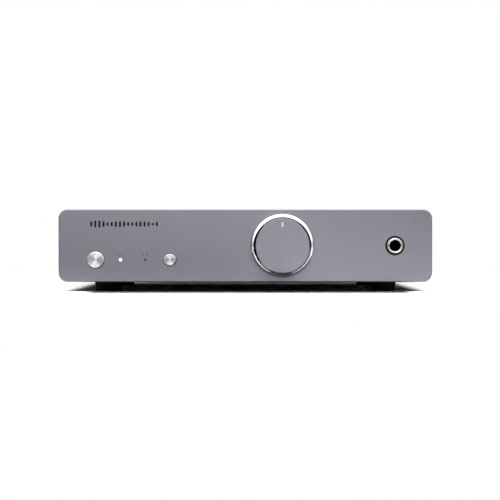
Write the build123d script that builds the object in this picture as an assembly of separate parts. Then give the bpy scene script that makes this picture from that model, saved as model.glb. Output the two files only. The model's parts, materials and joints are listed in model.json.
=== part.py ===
"""Desktop headphone amplifier: a low metal case behind a thick anodised fascia.

Frame: millimetres, +X to the right of someone facing the fascia, +Y towards the rear sockets, +Z up.
The origin is on the surface that the feet stand on, at the centre of the overall width and depth.
"""
from build123d import *
import os
from math import cos, pi, sin, sqrt

# ---------------------------------------------------------------- overall sizes
fascia_width = 215.0
fascia_height = 42.0
fascia_thickness = 6.0
fascia_corner_radius = 5.2
fascia_edge_radius = 0.7
ground_gap = 5.5  # from the standing surface to the fascia's lower edge
case_depth = 137.5  # from the fascia's front face to the cover's rear edge
knob_reach = 13.0  # the knob's face, in front of the fascia
socket_reach = 8.5  # the sockets' ends, behind the cover's rear edge

# ---------------------------------------------------------------- sheet metal
cover_inset = 0.6  # the cover is this much smaller than the fascia, on every edge
cover_wall = 1.2
cover_lip_width = 12.0
tray_wall = 1.2
tray_side_height = 24.0
sheet_gap = 0.3  # between the cover and what slides into it
rear_panel_wall = 1.2
rear_panel_recess = 0.8
rear_tab_width = 11.0
vent_slot_width = 2.4
vent_slot_length = 30.0
vent_slot_pitch = 6.0
vent_side_margin = 26.0  # from the cover's side to the first slot
vent_rear_margin = 22.0  # from the cover's rear edge to the slots

# ---------------------------------------------------------------- clearances
running_gap = 0.05  # a shaft in its bore
part_gap = 0.3  # between a moving piece and the piece round it
panel_hole_gap = 0.25  # round a fixed piece that passes through a sheet
cut = 1.0  # how far a cutting solid runs past the face that it opens

# ---------------------------------------------------------------- fascia layout
control_margin = 21.5  # from each end of the fascia to the outermost control's centre
knob_x = 21.0
button_drop = 8.1  # the button row, below the fascia's middle
button_pitch = 14.2  # power button, two indicators, source button

# ---------------------------------------------------------------- volume control
knob_diameter = 36.0
knob_rim_radius = 1.75  # the polished round edge
knob_groove_width = 0.5
knob_groove_depth = 0.6
knob_base_gap = 1.0  # between the fascia and the knob's skirt
knob_wall = 2.4
knob_face_thickness = 3.0
knob_boss_wall = 2.0
marker_width = 1.1
marker_length = 2.9
marker_depth = 0.25
marker_gap = 2.4  # between the groove and the marker's outer end
hub_wall = 3.5
hub_floor = 1.2  # plastic in front of the shaft's end
shaft_diameter = 6.0
shaft_flat_depth = 1.5
shaft_end_gap = 0.4
pot_size = 22.0
pot_corner_radius = 1.5
pot_depth = 13.0
pot_front_wall = 2.0
pot_side_wall = 1.5
pot_rotor_thickness = 2.0
bush_wall = 1.5
bush_front_gap = 0.6
nut_across_flats = 13.0
nut_thickness = 2.4
washer_thickness = 0.6
nut_pocket_depth = 4.0
nut_pocket_gap = 0.6

# ---------------------------------------------------------------- buttons and indicators
power_cap_diameter = 9.4
source_cap_diameter = 6.8
cap_proud = 1.2
cap_edge_chamfer = 0.3
cap_flange_gap = 0.4  # between the cap and its carrier's flange
cap_spigot_depth = 2.2
cap_spigot_share = 0.45  # of the cap's radius
button_travel = 0.8
button_hole_gap = 0.35  # radial gap round a cap
flange_overhang = 1.4
flange_thickness = 1.2
button_pocket_depth = 3.0
stem_diameter = 3.2
switch_size = 6.0
switch_depth = 3.6
switch_plunger_diameter = 3.4
switch_plunger_reach = 1.6
indicator_diameter = 1.6
indicator_proud = 0.1
indicator_collar_diameter = 3.4
led_size = (3.2, 1.2, 1.6)

# ---------------------------------------------------------------- headphone socket
plug_bore_diameter = 6.4
plug_bore_depth = 34.0
collar_wall = 1.3
collar_length = 12.0
collar_lip_share = 0.45  # of the collar's wall
collar_proud = 0.7
nose_wall = 0.95
nose_recess = 0.3
jack_width = 16.0
jack_headroom = 7.5  # housing above the bore's axis
jack_end_wall = 2.0
jack_body_gap = 0.2  # between the front wall and the socket's body
jack_contact_setbacks = (6.0, 14.0)  # from the bore's inner end
contact_thickness = 0.4
contact_width = 3.0

# ---------------------------------------------------------------- rear sockets
socket_pitch = 14.0
socket_shell_diameter = 8.3
socket_shell_wall = 0.75
socket_shank_step = 0.3  # the shell is this much thinner, radially, behind its shoulder
socket_edge_share = 0.4  # of the shell's wall
socket_tip_setback = 1.2  # the insulator, inside the shell's end
socket_contact_diameter = 3.9
socket_pin_bore = 3.3
socket_collar_wall = 1.4
socket_collar_thickness = 1.0
socket_block_headroom = 9.0  # block above the sockets' axis
socket_block_depth = 13.0
socket_insulator_depth = 6.5
socket_screw_length = 8.0
inlet_margin = 29.5  # from the fascia's end to the inlet's middle
inlet_mouth = (15.4, 8.2)
inlet_walls = (4.3, 2.65)
inlet_flange_overlap = (2.0, 1.5)
inlet_flange_thickness = 1.5
inlet_corner_radius = 2.5
inlet_edge_share = 0.33  # of the flange's thickness
inlet_depth = 14.0
inlet_end_wall = 3.0
inlet_pin_diameter = 2.4
inlet_pin_spacing = 8.6
inlet_pin_round_share = 0.6  # of the pin's radius
inlet_pin_setback = 2.0
inlet_blade_depth = 5.0
ground_margin = 25.5  # from the fascia's end to the earth stud
stud_diameter = 4.0
stud_tip_chamfer = 0.4
stud_seat_flats = 10.0
stud_seat_thickness = 1.5
stud_nut_flats = 8.0
stud_nut_thickness = 3.0
stud_tail = 1.5  # stud beyond the inner nut
thumb_nut_diameter = 10.0
thumb_nut_length = 5.2
thumb_nut_chamfer = 0.5
thumb_nut_grooves = 18
thumb_nut_groove_radius = 0.5
thumb_washer_diameter = 8.8
thumb_washer_thickness = 0.8

# ---------------------------------------------------------------- boards
board_thickness = 1.6
board_height = 5.0  # above the tray's floor
board_side_gap = 1.0  # from the tray's rear tabs
board_rear_gap = 0.4
board_front_gap = 0.5  # behind the deepest piece on the front wall
control_board_offset = 6.3  # behind the tray's front wall
control_board_floor_gap = 3.0
control_board_headroom = 3.5
control_board_overhang = 9.0  # past the outermost button's centre
standoff_flats = 5.0
standoff_inset = 4.0
standoff_rear_gap = 22.0
ribbon_width = 20.0
ribbon_thickness = 0.9
ribbon_bend = 5.0
ribbon_straight = 4.0
header_margin = 1.5
header_size = 6.0
header_height = 7.0
header_drop = 10.0  # the control board's header, below its upper edge

# ---------------------------------------------------------------- electronics
transformer_width = 42.0
transformer_stack = 24.0
transformer_leg = 7.0
transformer_window = 9.0
transformer_base_thickness = 2.0
transformer_headroom = 1.8
winding_reach = 6.0
winding_corner_radius = 3.5
winding_gap = 0.4
transformer_side_gap = 3.0
transformer_front_gap = 15.0
fuse_radius = 2.4
fuse_bore = 2.0
fuse_cap_radius = 2.6
fuse_glass_length = 10.0
fuse_cap_length = 5.0
fuse_height = 5.5
fuse_clip_wall = 0.8
fuse_clip_width = 4.0
fuse_rear_gap = 30.5
capacitor_radius = 5.0
capacitor_height = 20.0
capacitor_edge_radius = 0.6
capacitor_pitch = (12.5, 15.0)
capacitor_side_gap = 8.0
film_size = (7.2, 2.5, 6.5)
film_rear_gaps = (18.5, 24.5)
op_amp_size = (9.6, 6.4, 3.4)
op_amp_leg = 0.5
op_amp_rear_gaps = (34.0, 46.0)
relay_size = (15.0, 7.5, 10.0)
relay_rear_gap = 30.0
relay_x = -24.0
relay_side_gap = 11.0
heatsink_width = 40.0
heatsink_base = 3.0
heatsink_fin_length = 12.0
heatsink_fin_thickness = 1.5
heatsink_fins = 9
heatsink_headroom = 6.8
heatsink_front_gap = 8.0
heatsink_jack_gap = 9.0
transistor_size = (10.0, 4.5, 15.0)
transistor_height = 4.0
transistor_pitch = 13.0
part_pitch = 16.0
part_inset = 4.0  # from the heatsink's end to the first column of small parts
resistor_radius = 1.1
resistor_length = 6.0
resistor_height = 1.2
resistor_rows = (4.0, 7.5)  # behind the heatsink's fins
resistor_count = 5
resistor_pitch = 9.0

# ---------------------------------------------------------------- fasteners and feet
screw_diameter = 3.0
screw_head_diameter = 5.6
screw_head_height = 2.0
screw_head_round = 0.9
recess_arm = 3.1
recess_width = 0.9
recess_depth = 1.1
thread_gap = 0.1
screw_tail = 1.5  # shank beyond a sheet
hole_tail = 0.5  # a blind hole beyond its screw
tab_screw_length = 5.0
fascia_screw_depth = 4.0
fascia_screw_inset = (10.5, 9.0)  # from the fascia's ends, and from its upper and lower edges
lip_screw_inset = 7.5  # from the cover's side
lip_screw_front_gap = 48.0
lip_screw_rear_gap = 20.0
rear_tab_screw_heights = (6.0, 18.0)
foot_base_diameter = 14.4
foot_top_diameter = 17.0
foot_recess_diameter = 7.4
foot_floor = 2.4
foot_edge_radius = 0.8
foot_side_margin = 27.0  # from the fascia's end to a foot's middle
foot_front_margin = 20.0
foot_rear_margin = 18.0

# ---------------------------------------------------------------- reference planes
overall_depth = knob_reach + case_depth + socket_reach
front = -overall_depth / 2 + knob_reach  # the fascia's front face
fascia_back = front + fascia_thickness
wall_back = fascia_back + tray_wall  # rear face of the tray's front wall
case_end = front + case_depth
panel_face = case_end - rear_panel_recess
panel_inner = panel_face - rear_panel_wall
socket_end = case_end + socket_reach
middle_z = ground_gap + fascia_height / 2
cover_outer = (fascia_width - 2 * cover_inset, fascia_height - 2 * cover_inset)
cover_inner = (cover_outer[0] - 2 * cover_wall, cover_outer[1] - 2 * cover_wall)
cover_corner = fascia_corner_radius - cover_inset
cover_inner_corner = cover_corner - cover_wall
cover_underside = middle_z - cover_outer[1] / 2
cover_top = middle_z + cover_outer[1] / 2
ceiling = middle_z + cover_inner[1] / 2
floor_bottom = cover_underside + cover_wall  # the tray's floor lies on the cover's lips
floor_top = floor_bottom + tray_wall
tray_half = cover_inner[0] / 2 - sheet_gap

# ---------------------------------------------------------------- places on the front
button_z = middle_z - button_drop
power_x = control_margin - fascia_width / 2
jack_x = -power_x
indicator_x = [power_x + button_pitch, power_x + 2 * button_pitch]
source_x = power_x + 3 * button_pitch
knob_radius = knob_diameter / 2
knob_face = front - knob_reach
knob_back = front - knob_base_gap
rim_inner = knob_radius - knob_rim_radius
shaft_radius = shaft_diameter / 2
bush_radius = shaft_radius + bush_wall
hub_radius = shaft_radius + hub_wall
hub_front = knob_face + knob_face_thickness
marker_radius = rim_inner - knob_groove_width - marker_gap - marker_length / 2
control_board_front = wall_back + control_board_offset
control_board_back = control_board_front + board_thickness
plug_radius = plug_bore_diameter / 2
collar_radius = plug_radius + collar_wall
nose_radius = collar_radius + running_gap + nose_wall
bore_mouth = front - collar_proud
bore_end = bore_mouth + plug_bore_depth
jack_contact_y = [bore_end - setback for setback in jack_contact_setbacks]

# ---------------------------------------------------------------- places on the boards
board_bottom = floor_top + board_height
board_top = board_bottom + board_thickness
board_half = tray_half - rear_tab_width - board_side_gap
board_front = max(control_board_back, wall_back + pot_depth) + board_front_gap
board_rear = panel_inner - board_rear_gap
transformer_x = transformer_side_gap + transformer_width / 2 - board_half
heatsink_x1 = jack_x - jack_width / 2 - heatsink_jack_gap
heatsink_x0 = heatsink_x1 - heatsink_width
heatsink_y = board_front + heatsink_front_gap
ribbon_x = (power_x + source_x) / 2
ribbon_z = ceiling - control_board_headroom - header_drop
header_back = control_board_back + header_size
ribbon_drop_y = header_back + ribbon_straight + ribbon_bend

# ---------------------------------------------------------------- places on the rear
inlet_x = inlet_margin - fascia_width / 2
inlet_body = (inlet_mouth[0] + 2 * inlet_walls[0], inlet_mouth[1] + 2 * inlet_walls[1])
inlet_flange = (inlet_body[0] + 2 * inlet_flange_overlap[0], inlet_body[1] + 2 * inlet_flange_overlap[1])
inlet_face = panel_face + inlet_flange_thickness
inlet_pin_x = [inlet_x - inlet_pin_spacing / 2, inlet_x + inlet_pin_spacing / 2]
ground_x = fascia_width / 2 - ground_margin
shell_radius = socket_shell_diameter / 2
shank_radius = shell_radius - socket_shank_step
socket_collar_radius = shank_radius + running_gap + socket_collar_wall
socket_shoulder = panel_face + socket_collar_thickness
socket_block_width = 2 * socket_pitch
socket_start = inlet_x + inlet_flange[0] / 2
socket_spare = ground_x - stud_seat_flats / sqrt(3) - socket_start - 3 * socket_block_width
socket_gap = socket_spare / 4
socket_middles = [socket_start + (i + 1) * socket_gap + (i + 0.5) * socket_block_width for i in range(3)]

# ---------------------------------------------------------------- fastener places
screw_radius = screw_diameter / 2
screw_hole = screw_radius + thread_gap
head_radius = screw_head_diameter / 2
fascia_screw_x = fascia_width / 2 - fascia_screw_inset[0]
fascia_screw_z = fascia_height / 2 - fascia_screw_inset[1]
fascia_screw_places = [(x, middle_z + z) for x in (-fascia_screw_x, fascia_screw_x)
                       for z in (-fascia_screw_z, fascia_screw_z)]
lip_screw_x = cover_outer[0] / 2 - lip_screw_inset
lip_screw_ends = (front + lip_screw_front_gap, case_end - lip_screw_rear_gap)
lip_screw_y = [lip_screw_ends[0], sum(lip_screw_ends) / 2, lip_screw_ends[1]]
lip_screw_places = [(x, y) for x in (-lip_screw_x, lip_screw_x) for y in lip_screw_y]
rear_tab_screw_x = tray_half - rear_tab_width / 2
rear_tab_screw_places = [(x, floor_top + height) for x in (-rear_tab_screw_x, rear_tab_screw_x)
                         for height in rear_tab_screw_heights]
collar_to_head = socket_collar_radius + head_radius + part_gap
socket_screw_z = middle_z + sqrt(collar_to_head ** 2 - (socket_pitch / 2) ** 2)
standoff_places = [
    (standoff_inset - board_half, board_front + standoff_inset),
    (jack_x - jack_width / 2 - heatsink_jack_gap / 2, board_front + standoff_inset),
    (0.0, (board_front + board_rear) / 2),
    (standoff_inset - board_half, board_rear - standoff_rear_gap),
    (board_half - standoff_inset, board_rear - standoff_rear_gap),
]
foot_x = fascia_width / 2 - foot_side_margin
foot_y = {"front": front + foot_front_margin, "rear": case_end - foot_rear_margin}
foot_places = {
    f"foot_{row}_{side}": (sign * foot_x, y)
    for row, y in foot_y.items()
    for side, sign in (("left", -1), ("right", 1))
}
HEAD_DOWN = (180, 0, 0)
HEAD_UP = (0, 0, 0)
HEAD_TO_REAR = (-90, 0, 0)


# ---------------------------------------------------------------- building blocks
def block(x0, x1, y0, y1, z0, z1):
    """A box between two opposite corners."""
    centre = Pos((x0 + x1) / 2, (y0 + y1) / 2, (z0 + z1) / 2)
    return centre * Box(x1 - x0, y1 - y0, z1 - z0)


def standing_block(size, x, y, z):
    """A box of one size that stands on the height z, centred over x and y."""
    return Pos(x, y, z) * Box(*size, align=(Align.CENTER, Align.CENTER, Align.MIN))


def rod_y(radius, y0, y1, x=0.0, z=0.0):
    """A cylinder that lies along Y."""
    return Pos(x, (y0 + y1) / 2, z) * Rot(90, 0, 0) * Cylinder(radius, y1 - y0)


def rod_z(radius, z0, z1, x=0.0, y=0.0):
    """A cylinder that stands along Z."""
    return Pos(x, y, (z0 + z1) / 2) * Cylinder(radius, z1 - z0)


def tube_y(outer, inner, y0, y1, x=0.0, z=0.0):
    """A tube that lies along Y, given by its radii."""
    return rod_y(outer, y0, y1, x, z) - rod_y(inner, y0 - cut, y1 + cut, x, z)


def plate_y(outline, y0, y1, x=0.0, z=0.0):
    """An outline drawn in X and Z, thickened from y0 to y1."""
    plane = Plane(origin=(x, y1, z), x_dir=(1, 0, 0), z_dir=(0, -1, 0))
    return extrude(plane * outline, y1 - y0)


def plate_z(outline, z0, z1, x=0.0, y=0.0):
    """An outline drawn in X and Y, thickened from z0 to z1."""
    return extrude(Pos(x, y, z0) * outline, z1 - z0)


def hexagon(across_flats):
    """A regular hexagon, given by the distance between its flats."""
    return RegularPolygon(across_flats / 2, 6, major_radius=False)


def holes_y(body, radius, places, y0, y1):
    """The body, bored along Y at each (x, z)."""
    for x, z in places:
        body -= rod_y(radius, y0, y1, x, z)
    return body


def holes_z(body, radius, places, z0, z1):
    """The body, bored along Z at each (x, y)."""
    for x, y in places:
        body -= rod_z(radius, z0, z1, x, y)
    return body


def pan_screw(length):
    """A cross-recess pan head screw: its head above z = 0, and its shank below."""
    head = Cylinder(head_radius, screw_head_height, align=(Align.CENTER, Align.CENTER, Align.MIN))
    head = fillet(head.edges().sort_by(Axis.Z)[-1], screw_head_round)
    for size in ((recess_arm, recess_width), (recess_width, recess_arm)):
        head -= Pos(0, 0, screw_head_height) * Box(*size, 2 * recess_depth)
    shank = Cylinder(screw_radius, length, align=(Align.CENTER, Align.CENTER, Align.MAX))
    return head + shank


def screws(places, length, turn):
    """Copies of one screw, turned by three angles and put at each place."""
    return [Pos(*place) * Rot(*turn) * pan_screw(length) for place in places]


def save(name, shape):
    """Writes one node. A list becomes a node of separate solids."""
    if isinstance(shape, list):
        shape = Compound(children=shape)
    export_step(shape, f"parts/{name}.step")


# ---------------------------------------------------------------- case
def front_panel():
    outline = RectangleRounded(fascia_width, fascia_height, fascia_corner_radius)
    panel = plate_y(outline, front, fascia_back, 0, middle_z)
    panel = fillet(panel.faces().sort_by(Axis.Y)[0].edges(), fascia_edge_radius)
    through = (front - cut, fascia_back + cut)
    for x, diameter in ((power_x, power_cap_diameter), (source_x, source_cap_diameter)):
        pocket = diameter / 2 + flange_overhang + part_gap
        panel -= rod_y(diameter / 2 + button_hole_gap, *through, x, button_z)
        panel -= rod_y(pocket, fascia_back - button_pocket_depth, fascia_back + cut, x, button_z)
    lights = [(x, button_z) for x in indicator_x]
    panel = holes_y(panel, indicator_diameter / 2 + running_gap, lights, *through)
    nut_radius = nut_across_flats / sqrt(3) + nut_pocket_gap
    panel -= rod_y(shaft_radius + 2 * part_gap, *through, knob_x, middle_z)
    panel -= rod_y(nut_radius, fascia_back - nut_pocket_depth, fascia_back + cut, knob_x, middle_z)
    panel -= rod_y(nose_radius + panel_hole_gap / 2, *through, jack_x, middle_z)
    hole_start = fascia_back - fascia_screw_depth - hole_tail
    return holes_y(panel, screw_hole, fascia_screw_places, hole_start, fascia_back + cut)


def top_cover():
    """A wrapped sheet: roof, sides, and a lip under each side."""
    outer = RectangleRounded(*cover_outer, cover_corner)
    inner = RectangleRounded(*cover_inner, cover_inner_corner)
    cover = plate_y(outer - inner, fascia_back, case_end, 0, middle_z)
    gap_half = cover_outer[0] / 2 - cover_lip_width
    cover -= block(-gap_half, gap_half, fascia_back - cut, case_end + cut, 0, floor_bottom + cut)
    cover -= Compound(children=vent_slots())
    return holes_z(cover, screw_hole, lip_screw_places, cover_underside - cut, floor_bottom + cut)


def vent_slots():
    count = int((cover_outer[0] - 2 * vent_side_margin) // vent_slot_pitch)
    slot = SlotOverall(vent_slot_length, vent_slot_width, rotation=90)
    slot_y = case_end - vent_rear_margin - vent_slot_length / 2
    places = [(i - (count - 1) / 2) * vent_slot_pitch for i in range(count)]
    return [plate_z(slot, ceiling - cut, cover_top + cut, x, slot_y) for x in places]


def bottom_tray():
    """A folded sheet: floor, sides, the front wall, and two tabs for the rear panel."""
    side_top = floor_bottom + tray_side_height
    radius = cover_inner_corner
    outer = RectangleRounded(2 * tray_half, 2 * tray_side_height, radius)
    inner_size = (2 * (tray_half - tray_wall), 2 * (tray_side_height - tray_wall))
    inner = RectangleRounded(*inner_size, radius - tray_wall)
    tray = plate_y(outer - inner, fascia_back, panel_inner, 0, side_top)
    tray -= block(-tray_half - cut, tray_half + cut, fascia_back - cut, panel_inner + cut,
                  side_top, side_top + 2 * tray_side_height)
    tray += front_wall()
    tab_inner, tab_outer = tray_half - rear_tab_width, tray_half - tray_wall / 2
    for x0, x1 in ((-tab_outer, -tab_inner), (tab_inner, tab_outer)):
        tray += block(x0, x1, panel_inner - tray_wall, panel_inner, floor_top, side_top)
    tray = holes_y(tray, screw_hole, rear_tab_screw_places, panel_inner - 2 * tray_wall, panel_inner + cut)
    floor_places = lip_screw_places + standoff_places + list(foot_places.values())
    return holes_z(tray, screw_hole, floor_places, floor_bottom - cut, floor_top + cut)


def front_wall():
    """The tray's upturned front, which the fascia is screwed to."""
    height = ceiling - sheet_gap - floor_bottom
    outline = RectangleRounded(2 * tray_half, height, cover_inner_corner)
    wall = plate_y(outline, fascia_back, wall_back, 0, floor_bottom + height / 2)
    through = (fascia_back - cut, wall_back + cut)
    stems = [(power_x, button_z), (source_x, button_z)]
    collars = [(x, button_z) for x in indicator_x]
    wall = holes_y(wall, stem_diameter / 2 + part_gap, stems, *through)
    wall = holes_y(wall, indicator_collar_diameter / 2 + running_gap, collars, *through)
    wall -= rod_y(bush_radius + running_gap, *through, knob_x, middle_z)
    wall -= rod_y(nose_radius + panel_hole_gap, *through, jack_x, middle_z)
    return holes_y(wall, screw_hole, fascia_screw_places, *through)


def rear_panel():
    outline = RectangleRounded(2 * tray_half, cover_inner[1] - 2 * sheet_gap, cover_inner_corner)
    panel = plate_y(outline, panel_inner, panel_face, 0, middle_z)
    through = (panel_inner - cut, panel_face + cut)
    shells = [(x, middle_z) for middle in socket_middles for x in pair_x(middle).values()]
    panel = holes_y(panel, shank_radius + panel_hole_gap, shells, *through)
    block_screws = [(middle, socket_screw_z) for middle in socket_middles]
    panel = holes_y(panel, screw_hole, block_screws + rear_tab_screw_places, *through)
    cut_out = Rectangle(inlet_body[0] + panel_hole_gap, inlet_body[1] + panel_hole_gap)
    panel -= plate_y(cut_out, *through, inlet_x, middle_z)
    return panel - rod_y(stud_diameter / 2 + running_gap, *through, ground_x, middle_z)


def foot(x, y):
    """A tapered rubber foot, recessed from below for its screw's head."""
    upright = (Align.CENTER, Align.CENTER, Align.MIN)
    body = Pos(x, y, 0) * Cone(foot_base_diameter / 2, foot_top_diameter / 2, floor_bottom, align=upright)
    body = fillet(body.edges().sort_by(Axis.Z)[0], foot_edge_radius)
    body -= rod_z(foot_recess_diameter / 2, -cut, floor_bottom - foot_floor, x, y)
    return body - rod_z(screw_hole, 0, floor_bottom + cut, x, y)


# ---------------------------------------------------------------- volume control
def volume_knob():
    """A turned shell: round rim, a fine groove, a flat face with its marker, and a hollow back."""
    knob = rod_y(knob_radius, knob_face, knob_back, knob_x, middle_z)
    knob = fillet(knob.edges().sort_by(Axis.Y)[0], knob_rim_radius)
    socket = hub_radius + running_gap
    boss = socket + knob_boss_wall
    knob -= tube_y(knob_radius - knob_wall, boss, hub_front, knob_back + cut, knob_x, middle_z)
    knob -= rod_y(socket, hub_front, knob_back + cut, knob_x, middle_z)
    groove_floor = knob_face + knob_groove_depth
    face_radius = rim_inner - knob_groove_width
    knob -= tube_y(rim_inner, face_radius, knob_face - cut, groove_floor, knob_x, middle_z)
    marker = SlotOverall(marker_length, marker_width, rotation=90)
    marker_z = middle_z + marker_radius
    return knob - plate_y(marker, knob_face - cut, knob_face + marker_depth, knob_x, marker_z)


def flatted_rod(radius, flat, y0, y1):
    """A rod on the knob's axis, with a flat on its lower side."""
    rod = rod_y(radius, y0, y1, knob_x, middle_z)
    lower = middle_z - radius
    return rod - block(knob_x - radius, knob_x + radius, y0 - cut, y1 + cut, lower - cut, lower + flat)


def knob_hub():
    """The plastic insert that grips the shaft's flat."""
    hub_back = knob_back - part_gap
    socket_start_y = hub_front + hub_floor
    hub = rod_y(hub_radius, hub_front, hub_back, knob_x, middle_z)
    return hub - flatted_rod(shaft_radius + running_gap, shaft_flat_depth, socket_start_y, hub_back + cut)


def potentiometer():
    """The control's body, nut and washer, and the pieces that turn in it, by node name."""
    body_back = wall_back + pot_depth
    cavity_front, cavity_back = wall_back + pot_front_wall, body_back - pot_side_wall
    cavity_radius = pot_size / 2 - pot_side_wall
    bush_front = fascia_back - nut_pocket_depth + bush_front_gap
    washer_front = fascia_back - washer_thickness
    nut_front = washer_front - nut_thickness
    square = RectangleRounded(pot_size, pot_size, pot_corner_radius)
    body = plate_y(square, wall_back, body_back, knob_x, middle_z)
    body += rod_y(bush_radius, bush_front, wall_back, knob_x, middle_z)
    body -= rod_y(shaft_radius + running_gap, bush_front - cut, cavity_front + cut, knob_x, middle_z)
    body -= rod_y(cavity_radius, cavity_front, cavity_back, knob_x, middle_z)
    thread = bush_radius + running_gap
    nut = plate_y(hexagon(nut_across_flats), nut_front, washer_front, knob_x, middle_z)
    nut -= rod_y(thread, nut_front - cut, washer_front + cut, knob_x, middle_z)
    washer = tube_y(nut_across_flats / 2, thread, washer_front, fascia_back, knob_x, middle_z)
    rotor_front = cavity_front + part_gap
    rotor_back = rotor_front + pot_rotor_thickness
    rotor = tube_y(cavity_radius - part_gap, shaft_radius, rotor_front, rotor_back, knob_x, middle_z)
    shaft_front = hub_front + hub_floor + shaft_end_gap
    shaft = flatted_rod(shaft_radius, shaft_flat_depth, shaft_front, knob_back)
    shaft += rod_y(shaft_radius, knob_back, rotor_back, knob_x, middle_z)
    return {
        "potentiometer_body": body,
        "potentiometer_nut": nut,
        "potentiometer_washer": washer,
        "potentiometer_rotor": rotor,
        "volume_shaft": shaft,
    }


# ---------------------------------------------------------------- buttons and indicators
def button(name, x, diameter):
    """A cap, its plastic carrier, and the plunger of the switch behind it, by node name."""
    radius = diameter / 2
    pocket_floor = fascia_back - button_pocket_depth
    cap_front, cap_back = front - cap_proud, pocket_floor - cap_flange_gap
    spigot = radius * cap_spigot_share
    spigot_front = cap_back - cap_spigot_depth
    cap = rod_y(radius, cap_front, cap_back, x, button_z)
    cap = chamfer(cap.edges().sort_by(Axis.Y)[0], cap_edge_chamfer)
    cap -= rod_y(spigot + running_gap, spigot_front, cap_back + cut, x, button_z)
    flange_front = pocket_floor + running_gap
    flange_back = flange_front + flange_thickness
    body_front = control_board_front - switch_depth
    plunger_tip = body_front - switch_plunger_reach
    carrier = rod_y(spigot, spigot_front, cap_back, x, button_z)
    carrier += rod_y(radius - part_gap, cap_back, flange_front, x, button_z)
    carrier += rod_y(radius + flange_overhang, flange_front, flange_back, x, button_z)
    carrier += rod_y(stem_diameter / 2, flange_back, plunger_tip, x, button_z)
    plunger = rod_y(switch_plunger_diameter / 2, plunger_tip, body_front + part_gap, x, button_z)
    return {
        f"{name}_button_cap": cap,
        f"{name}_button_carrier": carrier,
        f"{name}_switch_plunger": plunger,
    }


def switch_body(x):
    """A board switch, with a well that its plunger sinks into."""
    half = switch_size / 2
    body_front = control_board_front - switch_depth
    well_floor = body_front + button_travel + 3 * part_gap
    well_radius = switch_plunger_diameter / 2 + running_gap
    body = block(x - half, x + half, body_front, control_board_front, button_z - half, button_z + half)
    return body - rod_y(well_radius, body_front - cut, well_floor, x, button_z)


def indicator_lens(x):
    """A light pipe with a collar that locates it in the tray's front wall."""
    back = control_board_front - led_size[1] - part_gap
    pipe = rod_y(indicator_diameter / 2, front - indicator_proud, back, x, button_z)
    return pipe + rod_y(indicator_collar_diameter / 2, fascia_back + running_gap, back, x, button_z)


def indicator_leds():
    y = control_board_front - led_size[1] / 2
    return [standing_block(led_size, x, y, button_z - led_size[2] / 2) for x in indicator_x]


# ---------------------------------------------------------------- headphone socket
def jack_housing():
    top = middle_z + jack_headroom
    body_front = wall_back + jack_body_gap
    half = jack_width / 2
    body = block(jack_x - half, jack_x + half, body_front, bore_end + jack_end_wall, board_top, top)
    body += rod_y(nose_radius, front + nose_recess, body_front, jack_x, middle_z)
    body -= rod_y(collar_radius + running_gap, front - cut, bore_mouth + collar_length, jack_x, middle_z)
    body -= rod_y(plug_radius, front, bore_end, jack_x, middle_z)
    window = contact_width + 2 * running_gap
    for y in jack_contact_y:
        body -= standing_block((window, window, top), jack_x, y, middle_z)
    return body


def jack_collar():
    """The plated sleeve, with a rounded lip, that the plug enters."""
    collar = tube_y(collar_radius, plug_radius, bore_mouth, bore_mouth + collar_length, jack_x, middle_z)
    return fillet(collar.faces().sort_by(Axis.Y)[0].edges(), collar_wall * collar_lip_share)


def jack_contacts():
    """Leaf springs that stand in the housing's windows, clear of the bore."""
    foot_z = middle_z + plug_radius + running_gap
    height = jack_headroom - plug_radius - running_gap
    leaves = []
    for y in jack_contact_y:
        upright_y = y - (contact_width - contact_thickness) / 2
        leaf = standing_block((contact_width, contact_thickness, height), jack_x, upright_y, foot_z)
        leaf += standing_block((contact_width, contact_width, contact_thickness), jack_x, y, foot_z)
        leaves.append(leaf)
    return leaves


# ---------------------------------------------------------------- rear sockets
def pair_x(middle):
    """The left and right channel's x, as read by someone who faces the rear."""
    return {"left": middle + socket_pitch / 2, "right": middle - socket_pitch / 2}


def socket_block(middle):
    """The moulded body that carries one pair of sockets on the board."""
    half = socket_block_width / 2
    block_front = panel_inner - socket_block_depth
    body = block(middle - half, middle + half, block_front, panel_inner,
                 board_top, middle_z + socket_block_headroom)
    seats = [(x, middle_z) for x in pair_x(middle).values()]
    seat_start = panel_inner - socket_insulator_depth
    body = holes_y(body, shank_radius + running_gap, seats, seat_start, panel_inner + cut)
    screw_start = panel_face - socket_screw_length - hole_tail
    return body - rod_y(screw_hole, screw_start, panel_inner + cut, middle, socket_screw_z)


def socket_pieces():
    """The shells, contacts and insulators of all the sockets, by node name."""
    kinds = ("shells", "contacts", "insulators_left", "insulators_right")
    nodes = {f"socket_{kind}": [] for kind in kinds}
    bore = shell_radius - socket_shell_wall
    contact = socket_contact_diameter / 2
    seat = shank_radius + running_gap
    start = panel_inner - socket_insulator_depth
    tip = socket_end - socket_tip_setback
    for middle in socket_middles:
        for side, x in pair_x(middle).items():
            shell = tube_y(shell_radius, bore, socket_shoulder, socket_end, x, middle_z)
            shell = fillet(shell.faces().sort_by(Axis.Y)[-1].edges(), socket_shell_wall * socket_edge_share)
            shell += tube_y(shank_radius, bore, start, socket_shoulder, x, middle_z)
            pin_tube = tube_y(contact, socket_pin_bore / 2, start, tip - part_gap, x, middle_z)
            insulator = tube_y(bore - running_gap, contact + running_gap, start, tip, x, middle_z)
            collar = tube_y(socket_collar_radius, seat, panel_face, socket_shoulder, x, middle_z)
            nodes["socket_shells"].append(shell)
            nodes["socket_contacts"].append(pin_tube)
            nodes[f"socket_insulators_{side}"] += [insulator, collar]
    return nodes


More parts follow.
